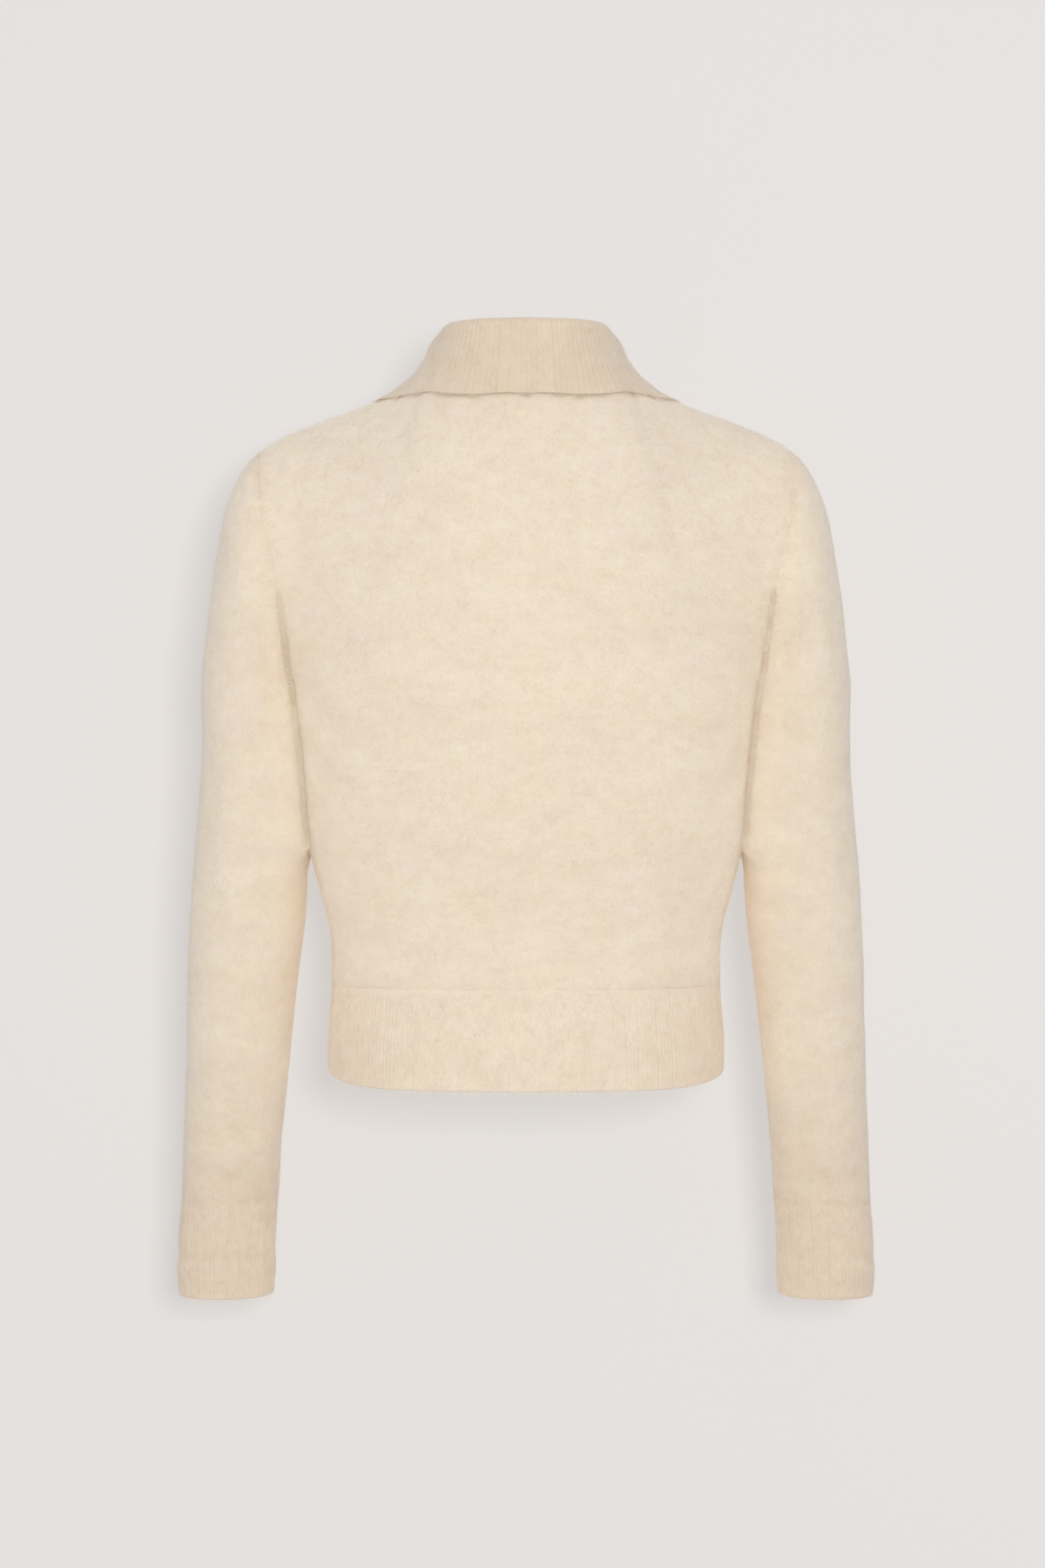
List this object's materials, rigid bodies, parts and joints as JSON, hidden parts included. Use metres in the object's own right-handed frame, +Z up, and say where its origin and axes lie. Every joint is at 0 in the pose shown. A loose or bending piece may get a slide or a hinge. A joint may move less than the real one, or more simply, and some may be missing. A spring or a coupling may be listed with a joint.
{
  "type": "polo sweater",
  "caption": "Cropped long-sleeved brushed-knit pullover with a folded rib collar, a plain open V neck, rib cuffs and a rib hem, hollow as if worn.",
  "frame": {"origin": "midway between the two points where the neckline meets the shoulder seams, at the height of those points, inside the open neck where the wearer's neck passes", "axes": "+Z up the body, +Y out of the back, -Y out of the front, +X towards the wearer's left sleeve"},
  "size_m": [0.53, 0.2431, 0.7301],
  "materials": {
    "brushed_knit": "brushed cream plain knit with a soft, fuzzy nap",
    "brushed_rib": "brushed rib knit, slightly deeper cream"
  },
  "bodies": {
    "root": {"back": "brushed_knit", "front": "brushed_knit", "sleeve_left": "brushed_knit", "sleeve_right": "brushed_knit", "collar": "brushed_rib", "hem_back": "brushed_rib", "hem_front": "brushed_rib", "cuff_left": "brushed_rib", "cuff_right": "brushed_rib"}
  },
  "joints": []
}
